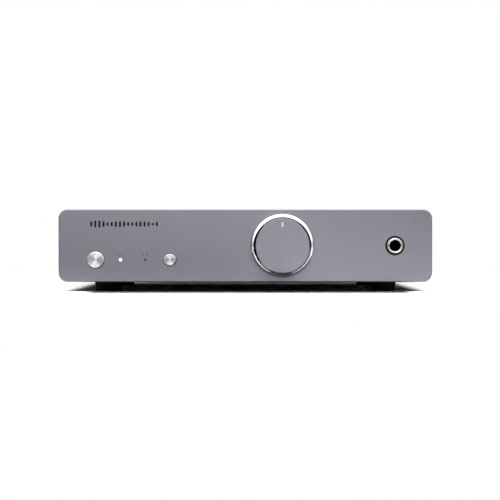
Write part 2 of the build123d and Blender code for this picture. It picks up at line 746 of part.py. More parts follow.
def mains_inlet():
    """The two-pin inlet's body, with its flange outside the rear panel."""
    outline = RectangleRounded(*inlet_flange, inlet_corner_radius)
    flange = plate_y(outline, panel_face, inlet_face, inlet_x, middle_z)
    body = fillet(flange.faces().sort_by(Axis.Y)[-1].edges(), inlet_flange_thickness * inlet_edge_share)
    mouth_floor = inlet_face - inlet_depth
    body += plate_y(Rectangle(*inlet_body), mouth_floor - inlet_end_wall, panel_face, inlet_x, middle_z)
    body -= plate_y(SlotOverall(*inlet_mouth), mouth_floor, inlet_face + cut, inlet_x, middle_z)
    pins = [(x, middle_z) for x in inlet_pin_x]
    return holes_y(body, inlet_pin_diameter / 2, pins, mouth_floor - inlet_end_wall - cut, inlet_face)


def inlet_pins():
    back = inlet_face - inlet_depth - inlet_end_wall - inlet_blade_depth
    radius = inlet_pin_diameter / 2
    pins = [rod_y(radius, back, inlet_face - inlet_pin_setback, x, middle_z) for x in inlet_pin_x]
    return [fillet(pin.edges().sort_by(Axis.Y)[-1], radius * inlet_pin_round_share) for pin in pins]


def ground_terminal():
    """The earth stud, its inner nut, and the thumb nut with its pressure washer, by node name."""
    radius = stud_diameter / 2
    bore = radius + running_gap
    seat_face = panel_face + stud_seat_thickness
    washer_face = seat_face + thumb_washer_thickness
    nut_start = panel_inner - stud_nut_thickness
    stud = rod_y(radius, nut_start - stud_tail, socket_end, ground_x, middle_z)
    stud = chamfer(stud.edges().sort_by(Axis.Y)[-1], stud_tip_chamfer)
    stud += plate_y(hexagon(stud_seat_flats), panel_face, seat_face, ground_x, middle_z)
    lock_nut = plate_y(hexagon(stud_nut_flats), nut_start, panel_inner, ground_x, middle_z)
    lock_nut -= rod_y(bore, nut_start - cut, panel_inner + cut, ground_x, middle_z)
    washer = tube_y(thumb_washer_diameter / 2, bore, seat_face, washer_face, ground_x, middle_z)
    return {
        "ground_stud": stud,
        "ground_lock_nut": lock_nut,
        "ground_washer": washer,
        "ground_thumb_nut": thumb_nut(bore, washer_face, washer_face + thumb_nut_length),
    }


def thumb_nut(bore, y0, y1):
    """A round nut with grip grooves along its rim."""
    outer = thumb_nut_diameter / 2
    nut = rod_y(outer, y0, y1, ground_x, middle_z)
    nut = chamfer(nut.edges().group_by(Axis.Y)[0] + nut.edges().group_by(Axis.Y)[-1], thumb_nut_chamfer)
    nut -= rod_y(bore, y0 - cut, y1 + cut, ground_x, middle_z)
    turns = [2 * pi * i / thumb_nut_grooves for i in range(thumb_nut_grooves)]
    grooves = [(ground_x + outer * cos(turn), middle_z + outer * sin(turn)) for turn in turns]
    return holes_y(nut, thumb_nut_groove_radius, grooves, y0 - cut, y1 + cut)


# ---------------------------------------------------------------- boards
def main_board():
    board = block(-board_half, board_half, board_front, board_rear, board_bottom, board_top)
    return holes_z(board, screw_hole, standoff_places, board_bottom - cut, board_top + cut)


def board_standoffs():
    posts = [plate_z(hexagon(standoff_flats), floor_top, board_bottom, x, y) for x, y in standoff_places]
    return [holes_z(post, screw_hole, [place], floor_top - cut, board_bottom + cut)
            for post, place in zip(posts, standoff_places)]


def control_board():
    return block(power_x - control_board_overhang, source_x + control_board_overhang,
                 control_board_front, control_board_back,
                 floor_top + control_board_floor_gap, ceiling - control_board_headroom)


def ribbon_headers():
    width = ribbon_width + 2 * header_margin
    upper = standing_block((width, header_size, header_size), ribbon_x,
                           control_board_back + header_size / 2, ribbon_z - header_size / 2)
    lower = standing_block((width, header_size, header_height), ribbon_x, ribbon_drop_y, board_top)
    return [upper, lower]


def ribbon_cable():
    """A flat cable: back from the control board, round one bend, and down to the main board."""
    x0, x1 = ribbon_x - ribbon_width / 2, ribbon_x + ribbon_width / 2
    half = ribbon_thickness / 2
    bend_y, bend_z = ribbon_drop_y - ribbon_bend, ribbon_z - ribbon_bend
    run = block(x0, x1, header_back, bend_y, ribbon_z - half, ribbon_z + half)
    drop = block(x0, x1, ribbon_drop_y - half, ribbon_drop_y + half, board_top + header_height, bend_z)
    along_x = Pos(ribbon_x, bend_y, bend_z) * Rot(0, 90, 0)
    ring = along_x * Cylinder(ribbon_bend + half, ribbon_width)
    ring -= along_x * Cylinder(ribbon_bend - half, ribbon_width + cut)
    quarter = block(x0, x1, bend_y, bend_y + 2 * ribbon_bend, bend_z, bend_z + 2 * ribbon_bend)
    return run + drop + (ring & quarter)


# ---------------------------------------------------------------- electronics
def transformer():
    """A laminated core with two windows, and the bobbin and winding through them, by node name."""
    winding_depth = transformer_stack + 2 * winding_reach
    x, y = transformer_x, board_front + transformer_front_gap + winding_depth / 2
    z0, z1 = board_top + transformer_base_thickness, ceiling - transformer_headroom
    window_z0, window_z1 = z0 + transformer_leg, z1 - transformer_leg
    half = transformer_width / 2
    stack = (y - transformer_stack / 2, y + transformer_stack / 2)
    core = block(x - half, x + half, *stack, z0, z1)
    leg_half = half - transformer_leg - transformer_window
    for x0, x1 in ((x - half + transformer_leg, x - leg_half), (x + leg_half, x + half - transformer_leg)):
        core -= block(x0, x1, y - transformer_stack, y + transformer_stack, window_z0, window_z1)
    reach = leg_half + transformer_window - winding_gap
    winding = block(x - reach, x + reach, y - winding_depth / 2, y + winding_depth / 2,
                    window_z0 + winding_gap, window_z1 - winding_gap)
    winding = fillet(winding.edges().filter_by(Axis.Z), winding_corner_radius)
    winding -= block(x - leg_half, x + leg_half, *stack, z0, z1)
    base = block(x - half, x + half, y - winding_depth / 2, y + winding_depth / 2, board_top, z0)
    posts = (winding_depth / 2 - winding_reach + winding_gap, winding_depth / 2)
    for y0, y1 in ((y - posts[1], y - posts[0]), (y + posts[0], y + posts[1])):
        base += block(x - leg_half, x + leg_half, y0, y1, z0, window_z0 + winding_gap)
    return {"transformer_core": core, "transformer_winding": [winding, base]}


def fuse():
    """A glass fuse and its clips, by node name."""
    y, z = board_rear - fuse_rear_gap, board_top + fuse_height
    cap_x = (fuse_glass_length + fuse_cap_length) / 2
    turned = Pos(inlet_x, y, z) * Rot(0, 90, 0)
    tube = Cylinder(fuse_radius, fuse_glass_length) - Cylinder(fuse_bore, 2 * fuse_glass_length)
    pieces = [turned * tube]
    clips = []
    for x in (inlet_x - cap_x, inlet_x + cap_x):
        pieces.append(Pos(x, y, z) * Rot(0, 90, 0) * Cylinder(fuse_cap_radius, fuse_cap_length))
        spread = fuse_cap_radius + running_gap
        outer_size = (fuse_clip_width, 2 * (spread + fuse_clip_wall), fuse_height + fuse_radius)
        inner_size = (2 * fuse_clip_width, 2 * spread, 2 * fuse_height)
        outer = standing_block(outer_size, x, y, board_top)
        inner = standing_block(inner_size, x, y, board_top + fuse_clip_wall)
        clips.append(outer - inner)
    return {"mains_fuse": pieces, "fuse_clips": clips}


def electrolytic_capacitors():
    x0 = transformer_x + transformer_width / 2 + capacitor_side_gap
    y0 = board_front + transformer_front_gap + capacitor_radius
    cans = []
    for column in range(3):
        for row in range(2):
            x, y = x0 + column * capacitor_pitch[0], y0 + row * capacitor_pitch[1]
            can = rod_z(capacitor_radius, board_top, board_top + capacitor_height, x, y)
            cans.append(fillet(can.edges().sort_by(Axis.Z)[-1], capacitor_edge_radius))
    return cans


def chip_x():
    """The x of each column of small parts, behind the heatsink."""
    return [heatsink_x0 + part_inset + i * part_pitch for i in range(3)]


def film_capacitors():
    return [standing_block(film_size, x, board_rear - gap, board_top)
            for x in chip_x() for gap in film_rear_gaps]


def op_amps():
    return [standing_block(op_amp_size, x, board_rear - gap, board_top + op_amp_leg)
            for x in chip_x() for gap in op_amp_rear_gaps]


def signal_relays():
    y = board_rear - relay_rear_gap
    return [standing_block(relay_size, x, y, board_top) for x in (relay_x, board_half - relay_side_gap)]


def heatsink():
    """A finned extrusion that the output transistors are clipped to."""
    z0, z1 = board_top, ceiling - heatsink_headroom
    fin_start = heatsink_y + heatsink_base
    sink = block(heatsink_x0, heatsink_x1, heatsink_y, fin_start, z0, z1)
    pitch = (heatsink_width - heatsink_fin_thickness) / (heatsink_fins - 1)
    for i in range(heatsink_fins):
        x = heatsink_x0 + i * pitch
        sink += block(x, x + heatsink_fin_thickness, fin_start, fin_start + heatsink_fin_length, z0, z1)
    return sink


def output_transistors():
    middle = (heatsink_x0 + heatsink_x1) / 2
    y, z = heatsink_y - transistor_size[1] / 2, board_top + transistor_height
    return [standing_block(transistor_size, middle + i * transistor_pitch, y, z) for i in (-1, 0, 1)]


def resistors():
    fins_end = heatsink_y + heatsink_base + heatsink_fin_length
    pieces = []
    for i in range(resistor_count):
        for row in resistor_rows:
            place = Pos(heatsink_x0 + i * resistor_pitch, fins_end + row, board_top + resistor_height)
            pieces.append(place * Rot(0, 90, 0) * Cylinder(resistor_radius, resistor_length))
    return pieces


# ---------------------------------------------------------------- fasteners
def fasteners():
    """The screws, one node for each job."""
    fascia = [(x, wall_back, z) for x, z in fascia_screw_places]
    tabs = [(x, panel_face, z) for x, z in rear_tab_screw_places]
    blocks = [(middle, panel_face, socket_screw_z) for middle in socket_middles]
    lips = [(x, y, cover_underside) for x, y in lip_screw_places]
    feet = [(x, y, floor_bottom - foot_floor) for x, y in foot_places.values()]
    boards = [(x, y, board_top) for x, y in standoff_places]
    return {
        "fascia_screws": screws(fascia, tray_wall + fascia_screw_depth, HEAD_TO_REAR),
        "rear_panel_screws": screws(tabs, tab_screw_length, HEAD_TO_REAR)
        + screws(blocks, socket_screw_length, HEAD_TO_REAR),
        "cover_screws": screws(lips, cover_wall + tray_wall + screw_tail, HEAD_DOWN),
        "foot_screws": screws(feet, foot_floor + tray_wall + screw_tail, HEAD_DOWN),
        "board_screws": screws(boards, board_thickness + board_height, HEAD_UP),
    }


# ---------------------------------------------------------------- all nodes
def all_nodes():
    nodes = {
        "front_panel": front_panel(),
        "top_cover": top_cover(),
        "bottom_tray": bottom_tray(),
        "rear_panel": rear_panel(),
        "volume_knob": volume_knob(),
        "knob_hub": knob_hub(),
        "switch_bodies": [switch_body(x) for x in (power_x, source_x)],
        "jack_housing": jack_housing(),
        "jack_collar": jack_collar(),
        "jack_contacts": jack_contacts(),
        "indicator_leds": indicator_leds(),
        "mains_inlet": mains_inlet(),
        "inlet_pins": inlet_pins(),
        "socket_blocks": [socket_block(middle) for middle in socket_middles],
        "main_board": main_board(),
        "control_board": control_board(),
        "board_standoffs": board_standoffs(),
        "ribbon_headers": ribbon_headers(),
        "ribbon_cable": ribbon_cable(),
        "electrolytic_capacitors": electrolytic_capacitors(),
        "film_capacitors": film_capacitors(),
        "op_amps": op_amps(),
        "signal_relays": signal_relays(),
        "heatsink": heatsink(),
        "output_transistors": output_transistors(),
        "resistors": resistors(),
    }
    nodes |= potentiometer()
    nodes |= button("power", power_x, power_cap_diameter)
    nodes |= button("source", source_x, source_cap_diameter)
    nodes |= {f"indicator_lens_{i + 1}": indicator_lens(x) for i, x in enumerate(indicator_x)}
    nodes |= socket_pieces() | ground_terminal() | transformer() | fuse()
    nodes |= {name: foot(x, y) for name, (x, y) in foot_places.items()}
    return nodes | fasteners()


if __name__ == "__main__":
    os.makedirs("parts", exist_ok=True)
    for node_name, node_shape in all_nodes().items():
        save(node_name, node_shape)
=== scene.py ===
"""Looks of a desktop headphone amplifier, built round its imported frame. Metres, +X right, +Y rear, +Z up."""
import json
import math

import bmesh
import bpy
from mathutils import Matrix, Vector

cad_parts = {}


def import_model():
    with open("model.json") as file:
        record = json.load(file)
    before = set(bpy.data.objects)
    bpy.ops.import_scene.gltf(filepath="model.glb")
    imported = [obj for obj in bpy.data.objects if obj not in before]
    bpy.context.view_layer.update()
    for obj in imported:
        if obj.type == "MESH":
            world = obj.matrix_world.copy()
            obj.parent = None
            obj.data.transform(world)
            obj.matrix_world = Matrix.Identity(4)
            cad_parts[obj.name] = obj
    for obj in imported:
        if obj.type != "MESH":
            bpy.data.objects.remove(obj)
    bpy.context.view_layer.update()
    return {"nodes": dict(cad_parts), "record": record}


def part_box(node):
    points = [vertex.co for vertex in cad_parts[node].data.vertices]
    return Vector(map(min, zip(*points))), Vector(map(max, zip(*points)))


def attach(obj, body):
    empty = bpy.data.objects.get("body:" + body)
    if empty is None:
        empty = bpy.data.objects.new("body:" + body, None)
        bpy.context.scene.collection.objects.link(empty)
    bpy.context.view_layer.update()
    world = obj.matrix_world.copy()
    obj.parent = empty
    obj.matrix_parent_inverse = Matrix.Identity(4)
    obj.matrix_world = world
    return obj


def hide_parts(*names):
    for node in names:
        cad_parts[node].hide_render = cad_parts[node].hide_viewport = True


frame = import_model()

nodes = frame["nodes"]
MM = 0.001

# ---------------------------------------------------------------- places, from the frame
fascia_low, fascia_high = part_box("front_panel")
knob_low, knob_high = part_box("volume_knob")
jack_low, jack_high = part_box("jack_collar")
power_low, power_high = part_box("power_button_cap")
source_low, source_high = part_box("source_button_cap")
panel_low, panel_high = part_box("rear_panel")
FACE_Y = fascia_low.y
REAR_Y = panel_high.y


def middle(low, high):
    return (low + high) / 2


KNOB = middle(knob_low, knob_high)
JACK = middle(jack_low, jack_high)
POWER = middle(power_low, power_high)
SOURCE = middle(source_low, source_high)


# ---------------------------------------------------------------- node helpers
class Shader:
    """One material, with short ways to add nodes that work in the object's own coordinates."""

    def __init__(self, name, **constants):
        self.material = bpy.data.materials.new(name)
        self.material.use_nodes = True
        self.tree = self.material.node_tree
        self.bsdf = self.tree.nodes["Principled BSDF"]
        self.position = self.node("ShaderNodeTexCoord").outputs["Object"]
        for key, value in constants.items():
            self.set(key, value)

    def set(self, key, value):
        socket = self.bsdf.inputs[key.replace("_", " ")]
        socket.default_value = (*value, 1.0) if isinstance(value, tuple) and len(value) == 3 else value

    def node(self, kind, **settings):
        made = self.tree.nodes.new(kind)
        for key, value in settings.items():
            setattr(made, key, value)
        return made

    def link(self, source, target):
        self.tree.links.new(source, target)

    def feed(self, key, source):
        self.link(source, self.bsdf.inputs[key])

    def noise(self, size, detail=2.0, stretch=(1.0, 1.0, 1.0)):
        """Noise from 0 to 1, whose features are about size metres across."""
        scaled = self.node("ShaderNodeVectorMath", operation="MULTIPLY")
        scaled.inputs[1].default_value = [1.0 / (size * s) for s in stretch]
        self.link(self.position, scaled.inputs[0])
        made = self.node("ShaderNodeTexNoise")
        made.inputs["Scale"].default_value = 1.0
        made.inputs["Detail"].default_value = detail
        self.link(scaled.outputs[0], made.inputs["Vector"])
        return made.outputs["Fac"]

    def ranged(self, source, low, high, start=0.3, end=0.7):
        """The source's span from start to end, remapped to low and high."""
        made = self.node("ShaderNodeMapRange")
        values = (start, end, low, high)
        for key, value in zip(("From Min", "From Max", "To Min", "To Max"), values):
            made.inputs[key].default_value = value
        self.link(source, made.inputs["Value"])
        return made.outputs[0]

    def math(self, operation, first, second=None):
        made = self.node("ShaderNodeMath", operation=operation)
        for socket, value in zip(made.inputs, (first, second)):
            if value is None:
                continue
            if isinstance(value, (int, float)):
                socket.default_value = value
            else:
                self.link(value, socket)
        return made.outputs[0]

    def mix(self, factor, first, second):
        """A colour between first and second. Each is a colour or an output."""
        made = self.node("ShaderNodeMix", data_type="RGBA")
        self.link(factor, made.inputs["Factor"])
        for key, value in (("A", first), ("B", second)):
            socket = [s for s in made.inputs if s.name == key and s.type == "RGBA"][0]
            if isinstance(value, tuple):
                socket.default_value = (*value, 1.0)
            else:
                self.link(value, socket)
        return [s for s in made.outputs if s.type == "RGBA"][0]

    def bump(self, height, depth, strength=1.0, after=None):
        made = self.node("ShaderNodeBump")
        made.inputs["Distance"].default_value = depth
        made.inputs["Strength"].default_value = strength
        self.link(height, made.inputs["Height"])
        if after is not None:
            self.link(after, made.inputs["Normal"])
        self.feed("Normal", made.outputs["Normal"])
        return made.outputs["Normal"]

    def radius_y(self, centre):
        """Distance from an axis along Y through centre."""
        moved = self.node("ShaderNodeVectorMath", operation="SUBTRACT")
        moved.inputs[1].default_value = centre
        self.link(self.position, moved.inputs[0])
        flat = self.node("ShaderNodeVectorMath", operation="MULTIPLY")
        flat.inputs[1].default_value = (1.0, 0.0, 1.0)
        self.link(moved.outputs[0], flat.inputs[0])
        length = self.node("ShaderNodeVectorMath", operation="LENGTH")
        self.link(flat.outputs[0], length.inputs[0])
        return length.outputs["Value"]


def shade(colour, factor):
    return tuple(min(1.0, c * factor) for c in colour)


# ---------------------------------------------------------------- materials
def blasted_metal(name, colour, roughness=0.33, mottle=0.1):
    """Bead-blasted, anodised aluminium: a fine grain, and faint clouds in its tone."""
    s = Shader(name, Metallic=1.0)
    grain = s.noise(0.16 * MM, 3.0)
    clouds = s.noise(1.3 * MM, 4.0)
    fine = s.ranged(grain, 1 - mottle, 1 + mottle)
    broad = s.ranged(clouds, 1 - mottle / 2, 1 + mottle / 2)
    tone = s.math("MULTIPLY", fine, broad)
    made = s.node("ShaderNodeVectorMath", operation="SCALE")
    made.inputs[0].default_value = colour
    s.link(tone, made.inputs["Scale"])
    s.feed("Base Color", made.outputs[0])
    s.feed("Roughness", s.ranged(clouds, roughness - 0.03, roughness + 0.03))
    s.bump(grain, 0.012 * MM, 0.6)
    return s.material


def coated_steel(name, colour):
    """Fine-textured powder coat."""
    s = Shader(name, Metallic=0.35, Specular_IOR_Level=0.4)
    texture = s.noise(0.55 * MM, 2.0)
    specks = s.noise(0.14 * MM, 2.0)
    s.feed("Base Color", s.mix(specks, shade(colour, 0.86), shade(colour, 1.14)))
    s.feed("Roughness", s.ranged(specks, 0.46, 0.6))
    s.bump(texture, 0.03 * MM, 0.6)
    return s.material


def turned_metal(name, colour, centre, groove=0.16 * MM, roughness=0.3, anisotropy=0.85):
    """A face turned on a lathe: concentric grooves, which spread its highlights across them."""
    s = Shader(name, Metallic=1.0, Anisotropic=anisotropy, Anisotropic_Rotation=0.25)
    radius = s.radius_y(centre)
    wave = s.math("SINE", s.math("MULTIPLY", radius, 2 * math.pi / groove))
    uneven = s.noise(0.3 * MM, 2.0)
    s.feed("Base Color", s.mix(s.ranged(wave, 0, 1, -1, 1), shade(colour, 0.9), shade(colour, 1.08)))
    s.feed("Roughness", s.ranged(uneven, roughness - 0.04, roughness + 0.04))
    tangent = s.node("ShaderNodeTangent", direction_type="RADIAL", axis="Y")
    s.feed("Tangent", tangent.outputs[0])
    s.bump(wave, 0.004 * MM, 0.5)
    return s.material


def polished_metal(name, colour, roughness=0.08):
    """Plated or diamond-cut metal, with faint polishing marks."""
    s = Shader(name, Metallic=1.0)
    marks = s.noise(0.5 * MM, 3.0, (1.0, 0.15, 1.0))
    s.feed("Base Color", s.mix(marks, shade(colour, 0.93), shade(colour, 1.05)))
    s.feed("Roughness", s.ranged(marks, roughness * 0.7, roughness * 1.5))
    s.bump(marks, 0.0015 * MM, 0.4)
    return s.material


def moulded_plastic(name, colour, roughness=0.45, texture=0.25 * MM, depth=0.01 * MM, level=0.45):
    s = Shader(name, Specular_IOR_Level=level)
    grain = s.noise(texture, 2.0)
    clouds = s.noise(4 * MM, 3.0)
    s.feed("Base Color", s.mix(clouds, shade(colour, 0.88), shade(colour, 1.12)))
    s.feed("Roughness", s.ranged(grain, roughness - 0.07, roughness + 0.07))
    s.bump(grain, depth, 0.5)
    return s.material


def rubber(name):
    s = Shader(name, Specular_IOR_Level=0.08)
    grain = s.noise(0.4 * MM, 4.0)
    dust = s.noise(3 * MM, 5.0)
    s.feed("Base Color", s.mix(s.ranged(dust, 0, 1, 0.5, 0.8), (0.012, 0.012, 0.013), (0.035, 0.034, 0.033)))
    s.feed("Roughness", s.ranged(grain, 0.65, 0.9))
    s.bump(grain, 0.04 * MM, 0.5)
    return s.material


def glowing_lens(name, colour, strength):
    s = Shader(name, Roughness=0.2, Emission_Strength=strength)
    centre = s.noise(0.5 * MM, 1.0)
    glow = s.mix(centre, shade(colour, 0.96), colour)
    s.feed("Base Color", glow)
    s.feed("Emission Color", glow)
    return s.material


def circuit_board(name, mask=(0.012, 0.11, 0.045)):
    """Solder mask with faint tracks below it."""
    s = Shader(name, Roughness=0.35, Specular_IOR_Level=0.5)
    weave = s.noise(0.6 * MM, 2.0)
    tracks = s.node("ShaderNodeTexBrick")
    tracks.inputs["Scale"].default_value = 160.0
    tracks.inputs["Mortar Size"].default_value = 0.012
    tracks.inputs["Color1"].default_value = (*mask, 1.0)
    tracks.inputs["Color2"].default_value = (*shade(mask, 0.8), 1.0)
    tracks.inputs["Mortar"].default_value = (*shade(mask, 1.9), 1.0)
    s.link(s.position, tracks.inputs["Vector"])
    s.feed("Base Color", tracks.outputs["Color"])
    s.bump(weave, 0.01 * MM, 0.4)
    return s.material


def striped(name, first, second, size, axis, roughness=0.5):
    """Thin layers or ribs along one axis, such as laminations or a flat cable."""
    s = Shader(name)
    parts = s.node("ShaderNodeSeparateXYZ")
    s.link(s.position, parts.inputs[0])
    wave = s.math("SINE", s.math("MULTIPLY", parts.outputs[axis], 2 * math.pi / size))
    band = s.ranged(wave, 0, 1, -0.6, 0.6)
    s.feed("Base Color", s.mix(band, first, second))
    s.feed("Roughness", s.ranged(s.noise(0.5 * MM), roughness - 0.08, roughness + 0.08))
    s.bump(wave, 0.05 * MM, 0.5)
    return s.material


ALUMINIUM = (0.340, 0.340, 0.392)
fascia_metal = blasted_metal("fascia_blasted", ALUMINIUM)
knob_metal = blasted_metal("knob_blasted", (0.355, 0.355, 0.408), 0.3)
rim_metal = polished_metal("knob_rim_polished", (0.86, 0.86, 0.88), 0.06)
coat = coated_steel("case_powder_coat", (0.235, 0.235, 0.26))
black_plastic = moulded_plastic("black_satin_plastic", (0.008, 0.008, 0.009), 0.5, level=0.2)
nickel = polished_metal("bright_nickel", (0.8, 0.79, 0.76), 0.1)
steel = polished_metal("nickel_plated_steel", (0.55, 0.54, 0.51), 0.28)
black_zinc = polished_metal("black_zinc_steel", (0.06, 0.06, 0.062), 0.35)
gold = polished_metal("gold_plated_brass", (0.86, 0.6, 0.24), 0.14)
white_plastic = moulded_plastic("white_plastic", (0.72, 0.72, 0.7), 0.3)
red_plastic = moulded_plastic("red_plastic", (0.45, 0.012, 0.01), 0.3)
lit = glowing_lens("lens_lit_white", (1.0, 1.0, 1.0), 1.6)
unlit = moulded_plastic("lens_unlit_smoke", (0.03, 0.03, 0.032), 0.15)
foot_rubber = rubber("foot_rubber")
board = circuit_board("circuit_board_green")
black_print = moulded_plastic("black_ink", (0.006, 0.006, 0.007), 0.6, 0.1 * MM, 0.002 * MM, 0.15)
grey_print = moulded_plastic("pale_grey_ink", (0.3, 0.3, 0.33), 0.5, 0.1 * MM, 0.002 * MM)
# The bevel's polished metal is painted far darker than the knob's aluminium: painted shade that darkens its
# reflections.
bevel_painted_shade_metal = polished_metal("knob_bevel_polished_painted_shade", (0.2, 0.2, 0.215), 0.12)
# Near-black fill for the knob's groove: painted shade, standing in for the shadow in the gap.
groove_painted_shade = moulded_plastic("groove_painted_shade", (0.004, 0.004, 0.004), 0.8, level=0.05)
white_print = moulded_plastic("white_ink", (0.5, 0.5, 0.51), 0.45, 0.1 * MM, 0.002 * MM)

SLOT_MATERIALS = {
    "anodised_fascia": fascia_metal,
    "anodised_knob": knob_metal,
    "powder_coat": coat,
    "black_plastic": black_plastic,
    "bright_plate": nickel,
    "nickel_steel": steel,
    "black_screws": black_zinc,
    "gold_plate": gold,
    "white_insulator": white_plastic,
    "red_insulator": red_plastic,
    "lit_lens": lit,
    "dark_lens": unlit,
    "led_body": white_plastic,
    "foot_rubber": foot_rubber,
    "circuit_board": board,
    "ribbon_grey": striped("ribbon_conductors", (0.3, 0.31, 0.34), (0.42, 0.43, 0.46), 1.27 * MM, 0),
    "capacitor_sleeve": moulded_plastic("capacitor_sleeve", (0.01, 0.015, 0.05), 0.25),
    "capacitor_film": moulded_plastic("film_capacitor_dip", (0.38, 0.03, 0.015), 0.3),
    "relay_case": moulded_plastic("relay_case", (0.7, 0.42, 0.04), 0.3),
    "black_anodised": polished_metal("black_anodised_fins", (0.03, 0.03, 0.032), 0.4),
    "resistor_body": striped("resistor_bands", (0.25, 0.42, 0.52), (0.1, 0.06, 0.03), 1.6 * MM, 0),
    "pot_case": moulded_plastic("potentiometer_case", (0.03, 0.09, 0.22), 0.4),
    "core_steel": striped("core_laminations", (0.07, 0.07, 0.075), (0.14, 0.14, 0.145), 0.7 * MM, 1),
    "winding_tape": moulded_plastic("winding_tape", (0.72, 0.45, 0.06), 0.25),
    "fuse_glass": polished_metal("fuse_tube", (0.7, 0.74, 0.72), 0.12),
}


def dress_frame():
    """Every CAD node gets the material of its slot, but the two button caps get their own turned metal,
    painted at two brightnesses: painted light on the power cap and painted shade on the source cap.
    """
    slots = {row["node"]: row["material_slot"] for row in frame["record"]["subparts"]}
    own = {
        # One metal in two colours, 0.93 and 0.83: painted light on the power cap, painted shade on the source
        # cap.
        "power_button_cap": turned_metal("power_cap_turned_painted_light", (0.93, 0.93, 0.95), POWER),
        "source_button_cap": turned_metal("source_cap_turned_painted_shade", (0.83, 0.83, 0.85), SOURCE),
    }
    for name, node in nodes.items():
        node.data.materials.clear()
        node.data.materials.append(own.get(name) or SLOT_MATERIALS[slots[name]])


# ---------------------------------------------------------------- mesh helpers
def finish_mesh(name, mesh_data, material, body):
    mesh = bpy.data.meshes.new(name)
    mesh_data.to_mesh(mesh)
    mesh_data.free()
    piece = bpy.data.objects.new(name, mesh)
    bpy.context.scene.collection.objects.link(piece)
    mesh.materials.append(material)
    mesh.shade_smooth()
    mesh.set_sharp_from_angle(angle=math.radians(14))
    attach(piece, body)
    return piece


def arc(centre, radius, start, end, count):
    """Points (r, y) on an arc, from one angle to another, in degrees."""
    angles = [math.radians(start + (end - start) * i / count) for i in range(count + 1)]
    return [(centre[0] + radius * math.cos(a), centre[1] + radius * math.sin(a)) for a in angles]


def turned(name, profile, centre, material, body, segments=192):
    """A closed profile of (radius, y), in metres, turned about an axis along Y."""
    data = bmesh.new()
    rings = []
    for step in range(segments):
        turn = 2 * math.pi * step / segments
        rings.append([data.verts.new((centre.x + r * math.cos(turn), y, centre.z + r * math.sin(turn)))
                      for r, y in profile])
    count = len(profile)
    for step in range(segments):
        here, following = rings[step], rings[(step + 1) % segments]
        for i in range(count):
            j = (i + 1) % count
            data.faces.new((here[i], here[j], following[j], following[i]))
    bmesh.ops.remove_doubles(data, verts=data.verts, dist=1e-7)
    bmesh.ops.recalc_face_normals(data, faces=data.faces)
    return finish_mesh(name, data, material, body)


def inked(name, outlines, material, surface_y, towards, body="root", thickness=0.02 * MM):
    """Flat shapes (x, z) printed on a face: each is a thin closed plate that stands on surface_y."""
    data = bmesh.new()
    for outline in outlines:
        bottom = [data.verts.new((x, surface_y, z)) for x, z in outline]
        top = [data.verts.new((x, surface_y + towards * thickness, z)) for x, z in outline]
        data.faces.new(bottom)
        data.faces.new(top)
        for i in range(len(outline)):
            j = (i + 1) % len(outline)
            data.faces.new((bottom[i], bottom[j], top[j], top[i]))
    bmesh.ops.recalc_face_normals(data, faces=data.faces)
    return finish_mesh(name, data, material, body)


def capsule(x, z, width, height, count=8):
    """An upright bar with round ends."""
    radius = min(width, height) / 2
    reach = max(0.0, height / 2 - radius)
    points = []
    for sign, start in ((1, 0), (-1, 180)):
        for i in range(count + 1):
            turn = math.radians(start + 180 * i / count)
            points.append((x + radius * math.cos(turn), z + sign * reach + radius * math.sin(turn)))
    return points


def bar(x, z, width, height):
    """An upright rectangle round (x, z)."""
    x0, x1 = x - width / 2, x + width / 2
    z0, z1 = z - height / 2, z + height / 2
    return [(x0, z0), (x1, z0), (x1, z1), (x0, z1)]


def ring_part(x, z, outer, inner, start, end, count=20):
    """A flat band along an arc, in degrees."""
    turns = [math.radians(start + (end - start) * i / count) for i in range(count + 1)]
    outside = [(x + outer * math.cos(t), z + outer * math.sin(t)) for t in turns]
    inside = [(x + inner * math.cos(t), z + inner * math.sin(t)) for t in reversed(turns)]
    return outside + inside


def numeral_one(x, z, height, mirror=1):
    w = height * 0.14
    return [bar(x, z, w, height),
            [(x - mirror * w * 0.4, z + height / 2), (x - mirror * w * 2.0, z + height * 0.28),
             (x - mirror * w * 2.0, z + height * 0.14), (x - mirror * w * 0.4, z + height * 0.34)]]


def numeral_two(x, z, height, mirror=1):
    w = height * 0.14
    r = height * 0.27
    top = z + height / 2 - r
    hook = ring_part(0, 0, r, r - w, 165, -40, 14)
    hook = [(x + mirror * px, top + pz) for px, pz in hook]
    base = z - height / 2
    a = math.radians(-40)
    out_x, out_z = r * math.cos(a), r * math.sin(a)
    in_x, in_z = (r - w) * math.cos(a), (r - w) * math.sin(a)
    slant = [(x + mirror * out_x, top + out_z), (x + mirror * in_x, top + in_z),
             (x - mirror * r, base + w), (x - mirror * r + mirror * w * 1.3, base + w)]
    foot = bar(x, base + w / 2, 2 * r, w)
    return [hook, slant, foot]


